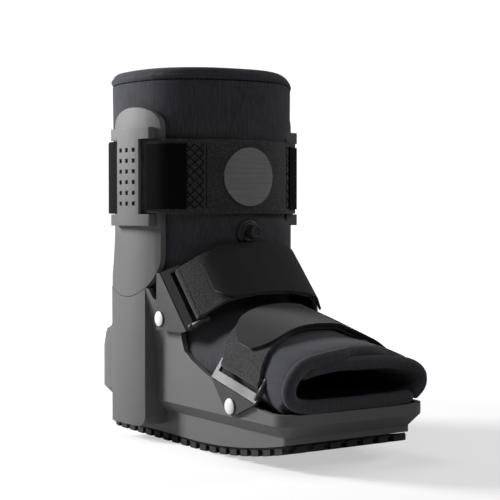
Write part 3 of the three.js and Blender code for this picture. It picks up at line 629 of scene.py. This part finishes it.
calf_tree = neighbours_tree([piece for piece in bands if piece.name == "calf_band"])
STITCH_ZONES = [(-41, -30, 2), (38, 53, 2)]
STITCH_ROWS = 7
ROW_LOW, ROW_HIGH = 162, 206
CROSS_LIFT, CROSS_RADIUS = 0.15, 0.32
EDGE_TURNS = (-42.5, -28.5, 36.5, 54.5)
EDGE_STITCHES = 15
EDGE_LIFT, EDGE_RADIUS = 0.1, 0.28
stitch_work = bmesh.new()
count = 0
for first, last, columns in STITCH_ZONES:
    for row in range(STITCH_ROWS):
        for column in range(columns):
            for cross in (0, 1):
                for piece_of in (0, 1):
                    share = [(piece_of + 0.06) / 2, (piece_of + 0.94) / 2]
                    ends = []
                    for along_share in share:
                        up = along_share if cross == 0 else 1 - along_share
                        across = (last - first) * (column + along_share) / columns
                        turn = math.radians(first + across)
                        height = ROW_LOW + (ROW_HIGH - ROW_LOW) * (row + up) / STITCH_ROWS
                        spot, normal = facing(calf_tree, turn, height)
                        ends.append(spot + normal * mm(CROSS_LIFT))
                    rod(stitch_work, *ends, mm(CROSS_RADIUS), 5)
                    count += 1
for turn_deg in EDGE_TURNS:
    for k in range(EDGE_STITCHES):
        ends = []
        for share in (0.06, 0.94):
            height = ROW_LOW + (ROW_HIGH - ROW_LOW) * (k + share) / EDGE_STITCHES
            spot, normal = facing(calf_tree, math.radians(turn_deg), height)
            ends.append(spot + normal * mm(EDGE_LIFT))
        rod(stitch_work, *ends, mm(EDGE_RADIUS), 5)
        count += 1
joined_piece("calf_stitches", stitch_work, thread_black)
print("stitches:", count)

# %% [markdown]
# The liner is foam between two skins of brushed cloth. It is remeshed to even squares, blown up a
# little by a cloth simulation so that it swells between the straps, and then cut back to the room
# that the straps and the shell leave. The hem, the wrap's free edge and the toe's bulge are moved
# in code afterwards.

# %% Liner
LINER_VOXEL = 3.7
LINER_SWELL = 4.0
LINER_CLEAR = 0.3
SWELL_PRESSURE = 4
SWELL_FRAMES = 15


def apply_modifiers(piece):
    view = bpy.context.evaluated_depsgraph_get()
    done = bpy.data.meshes.new_from_object(piece.evaluated_get(view))
    piece.modifiers.clear()
    piece.data = done


def smooth_step(value):
    value = max(0, min(value, 1))
    return value * value * (3 - 2 * value)


def cut_line(work, spot, normal, keep):
    """An edge loop across the faces that keep() accepts, where the plane meets them."""
    faces = [f for f in work.faces if keep(f.calc_center_median())]
    edges = list({e for f in faces for e in f.edges})
    verts = list({v for f in faces for v in f.verts})
    bmesh.ops.bisect_plane(
        work, geom=verts + edges + faces, dist=1e-6, plane_co=spot, plane_no=normal,
        clear_inner=False, clear_outer=False,
    )


RIM = 259
HEM = 8.5
FLAP_EDGE = math.radians(58)
FLAP_RADIUS = 60
FLAP_PROUD = 3.4
RIM_DIP = 5
RIM_SINK = 3
TOE_REACH = 7
GROOVE_HALF = 0.9
GROOVE_DEPTH = 0.9
HEM_PROUD = 1.1
LEG_START = 112
WRAP_START = 116
STRAP_TOP, STRAP_FOOT, STRAP_FADE = 211, 156, 9
SEAM_BACK = 8
RIM_BAND = 30
TOE_TOP = 50
TOE_ROOM = 9
TOE_RISE = 0.85


def shape_hems(piece):
    """The top hem, the wrap-over front's free edge and the toe's bulge over the tray."""
    work = bmesh.new()
    work.from_mesh(piece.data)
    up = Vector((0, 0, 1))
    above = lambda c: c.z > mm(RIM - 25)
    for step in (-1.0, 0, 1.0):
        cut_line(work, place(0, 0, RIM - HEM + step), up, above)
    flap_spot = place(
        FLAP_RADIUS * math.sin(FLAP_EDGE), -FLAP_RADIUS * math.cos(FLAP_EDGE), 0
    )
    flap_way = Vector((math.cos(FLAP_EDGE), math.sin(FLAP_EDGE), 0))
    right_front = lambda c: c.x > mm(28) and c.y < leg_axis_y and c.z > mm(110)
    for step in (-SEAM_BACK - 1, -SEAM_BACK, -SEAM_BACK + 1, 0, 1.2):
        cut_line(work, flap_spot + flap_way * mm(step), flap_way, right_front)
    work.normal_update()
    work.verts.index_update()
    rises = {}
    outer_top = lambda spot, normal: normal.z > 0.3 and spot.y < place(0, -70, 0).y
    for vertex in work.verts:
        spot, normal = vertex.co.copy(), vertex.normal.copy()
        leg = Vector((spot.x, spot.y - leg_axis_y, 0))
        turn = math.atan2(leg.x, -leg.y)
        outer = leg.length > 0 and normal.dot(leg.normalized()) > 0.3
        height = spot.z * 1000
        past = (spot - flap_spot).dot(flap_way) * 1000
        if height > LEG_START and outer:
            groove = 1 - smooth_step(abs(height - (RIM - HEM)) / GROOVE_HALF)
            vertex.co -= normal * mm(GROOVE_DEPTH) * groove
            vertex.co += normal * mm(HEM_PROUD) * smooth_step((height - (RIM - HEM)) / 3)
            over = smooth_step((height - STRAP_TOP) / STRAP_FADE)
            under = smooth_step((STRAP_FOOT - height) / STRAP_FADE)
            off_strap = max(over, under)
            lower = smooth_step((height - WRAP_START) / 12)
            rise = smooth_step((math.degrees(turn) + 15) / 55)
            if turn > 0 and leg.x > 0.02:
                edge = 1 - smooth_step((past - 0.1) / 1.0)
            else:
                edge = 1
            rise *= edge if 0 <= math.degrees(turn) < 100 else 1 if turn < 0 else 0
            in_front = 0.3 < turn < 1.4
            seam = 1 - smooth_step(abs(past + SEAM_BACK) / GROOVE_HALF) if in_front else 0
            vertex.co += leg.normalized() * mm(FLAP_PROUD) * rise * off_strap * lower
            vertex.co -= normal * mm(GROOVE_DEPTH) * seam * off_strap
        if height > RIM - RIM_BAND:
            side = math.degrees(turn) - math.degrees(FLAP_EDGE) - 6
            reach = smooth_step((side + 34) / 34) if side < 0 else 1 - smooth_step(side / 50)
            band = smooth_step((height - (RIM - RIM_BAND)) / RIM_BAND)
            vertex.co.z -= mm(RIM_DIP) * reach * band
            vertex.co.z -= mm(RIM_SINK) * smooth_step((height - (RIM - 8)) / 8)
        if height > TOE_TOP and outer_top(spot, normal):
            hit = tree.ray_cast(spot + up * mm(0.1), up, mm(TOE_ROOM))
            rises[vertex.index] = max(0, hit[3] - mm(0.5)) if hit[0] is not None else 0
        toe_share = smooth_step((place(0, -140, 0).y - spot.y) / mm(36))
        vertex.co.y -= mm(TOE_REACH) * toe_share * smooth_step((height - 40) / 5)
    rises = {v.index: rises.get(v.index, 0) for v in work.verts}
    for repeat in range(2):
        rises = {
            v.index: (rises[v.index] + sum(rises[e.other_vert(v).index] for e in v.link_edges))
            / (1 + len(v.link_edges))
            for v in work.verts
        }
    for vertex in work.verts:
        vertex.co.z += rises[vertex.index] * TOE_RISE
    work.to_mesh(piece.data)
    work.free()


liner = copy_of("liner", "padded_liner")
remesh = liner.modifiers.new("even", "REMESH")
remesh.mode, remesh.voxel_size = "VOXEL", mm(LINER_VOXEL)
smooth = liner.modifiers.new("soft", "SMOOTH")
smooth.factor, smooth.iterations = 0.5, 3
apply_modifiers(liner)
hard = [o for o in bpy.data.objects if o.get("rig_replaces") and o is not liner]
tree = neighbours_tree(hard)
start = [v.co.copy() for v in liner.data.vertices]
normals = [v.normal.copy() for v in liner.data.vertices]
room = []
for spot, normal in zip(start, normals):
    hit = tree.ray_cast(spot, normal, mm(LINER_SWELL * 3))
    near = tree.find_nearest(spot, mm(LINER_SWELL))
    free = hit[3] if hit[0] is not None else mm(LINER_SWELL * 3)
    if near[0] is not None:
        free = min(free, near[3])
    room.append(max(0, min(free - mm(LINER_CLEAR), mm(LINER_SWELL))))
cloth_sim = liner.modifiers.new("swell", "CLOTH")
cloth_sim.settings.use_pressure = True
cloth_sim.settings.uniform_pressure_force = SWELL_PRESSURE
cloth_sim.settings.effector_weights.gravity = 0
cloth_sim.settings.quality = 5
for step in range(1, SWELL_FRAMES + 1):
    bpy.context.scene.frame_set(step)
apply_modifiers(liner)
moved = [v.co.copy() for v in liner.data.vertices]
for vertex, spot, new, free in zip(liner.data.vertices, start, moved, room):
    shift = new - spot
    if shift.length > free:
        shift *= free / shift.length
    vertex.co = spot + shift
swells = [(v.co - spot).length for v, spot in zip(liner.data.vertices, start)]
print("largest swell, mm:", round(1000 * max(swells), 2))
shape_hems(liner)
liner.modifiers.new("fine", "SUBSURF").levels = 1
liner.modifiers["fine"].render_levels = 1
liner.data.materials.append(liner_cloth)
liner.data.shade_smooth()
print("liner:", len(liner.data.polygons), "faces")

# %% [markdown]
# At the toe the left side of the wrap lies over the right one. Both have a rolled hem, which is a
# soft tube: the upper one comes up the left side and turns back over the instep, the lower one
# comes up the right side and goes under it.

# %% Rolled hems at the toe
def smooth_path(corners, steps):
    """A curve through the corners, with their tangents taken from the corners on either side."""
    spots = []
    for k in range(len(corners) - 1):
        a, b = corners[k], corners[k + 1]
        before, after = corners[max(k - 1, 0)], corners[min(k + 2, len(corners) - 1)]
        for step in range(steps):
            t = step / steps
            leave, arrive = (b - before) / 2, (after - a) / 2
            spots.append(
                a * (2 * t**3 - 3 * t**2 + 1) + leave * (t**3 - 2 * t**2 + t)
                + b * (3 * t**2 - 2 * t**3) + arrive * (t**3 - t**2)
            )
    spots.append(corners[-1])
    return spots


def roll(work, spots, radius, closed=False, sides=14):
    """A soft tube along a row of places, with its ends drawn in unless it closes on itself."""
    rings = []
    last = len(spots) - 1
    for k, spot in enumerate(spots):
        if closed:
            way = spots[(k + 1) % len(spots)] - spots[k - 1]
        else:
            way = spots[min(k + 1, last)] - spots[max(k - 1, 0)]
        turn = way.to_track_quat("Z", "Y").to_matrix().to_4x4()
        turn.translation = spot
        closing = 2 if closed else min(k, last - k)
        size = radius * (0.35, 0.8)[closing] if closing < 2 else radius
        made = bmesh.ops.create_circle(
            work, segments=sides, radius=size, cap_ends=closing == 0, matrix=turn
        )
        rings.append({e for v in made["verts"] for e in v.link_edges})
    pairs = list(zip(rings, rings[1:]))
    if closed:
        pairs.append((rings[-1], rings[0]))
    for first, second in pairs:
        bmesh.ops.bridge_loops(work, edges=list(first | second))
    bmesh.ops.recalc_face_normals(work, faces=work.faces)


UPPER_HEM = [
    (46, -180, 41.5), (20, -181, 40.5), (-20, -181, 40.5), (-44, -181, 41.5), (-53, -181, 48),
    (-52, -182, 58), (-43, -182, 66), (-28, -182, 69.5), (-12, -180, 71), (4, -172, 72),
    (20, -160, 72.5), (36, -144, 71), (44, -134, 69),
]
LOWER_HEM = [
    (47, -178, 41), (53, -180, 48), (52, -181, 56), (42, -182, 62), (24, -183, 65),
    (4, -183, 66), (-16, -182, 65.5), (-34, -180, 63), (-42, -177, 60),
]
work = bmesh.new()
roll(work, smooth_path([place(*spot) for spot in UPPER_HEM], 8), mm(4.4))
roll(work, smooth_path([place(*spot) for spot in LOWER_HEM], 8), mm(4.0))
toe_hems = joined_piece("toe_hems", work, liner_cloth)
print("toe hems:", len(toe_hems.data.polygons), "faces")

# %% [markdown]
# The top edge is bound in the same way, with one soft roll right round the wall's end.

# %% Rolled rim
def rim_dip(turn):
    """How far the rim drops near the free corner of the wrap."""
    side = abs((math.degrees(turn) - math.degrees(FLAP_EDGE) - 6 + 180) % 360 - 180)
    return RIM_DIP * (1 - smooth_step(side / 44))


liner_tree = neighbours_tree([liner])
RIM_ROLL = 4.9
RIM_PLACES = 72
spots = []
for k in range(RIM_PLACES):
    turn = math.tau * k / RIM_PLACES
    spot = facing(liner_tree, turn, RIM - HEM - 6)[0]
    way = Vector((math.sin(turn), -math.cos(turn), 0))
    centre = spot - way * mm(RIM_ROLL - 0.4)
    centre.z = mm(RIM - RIM_ROLL - rim_dip(turn))
    spots.append(centre)
for repeat in range(3):
    spots = [(spots[k - 1] + spots[k] * 2 + spots[(k + 1) % RIM_PLACES]) / 4 for k in range(RIM_PLACES)]
work = bmesh.new()
roll(work, spots, mm(RIM_ROLL), closed=True)
rim = joined_piece("rim_hem", work, liner_cloth)
print("rim hem:", len(rim.data.polygons), "faces")

# %% [markdown]
# A row of stitches runs round the top hem. It is laid in the groove that the hem's seam makes.

# %% Stitches round the top hem
work = bmesh.new()
HEM_STITCHES = 110
for k in range(HEM_STITCHES):
    turns = [math.tau * (k + share) / HEM_STITCHES for share in (0.1, 0.9)]
    ends = []
    for turn in turns:
        spot, normal = facing(liner_tree, turn, RIM - HEM - 0.6 * rim_dip(turn))
        ends.append(spot + normal * mm(0.1))
    rod(work, *ends, mm(0.45), 5)
joined_piece("hem_stitches", work, thread_black)
print("hem stitches:", HEM_STITCHES)
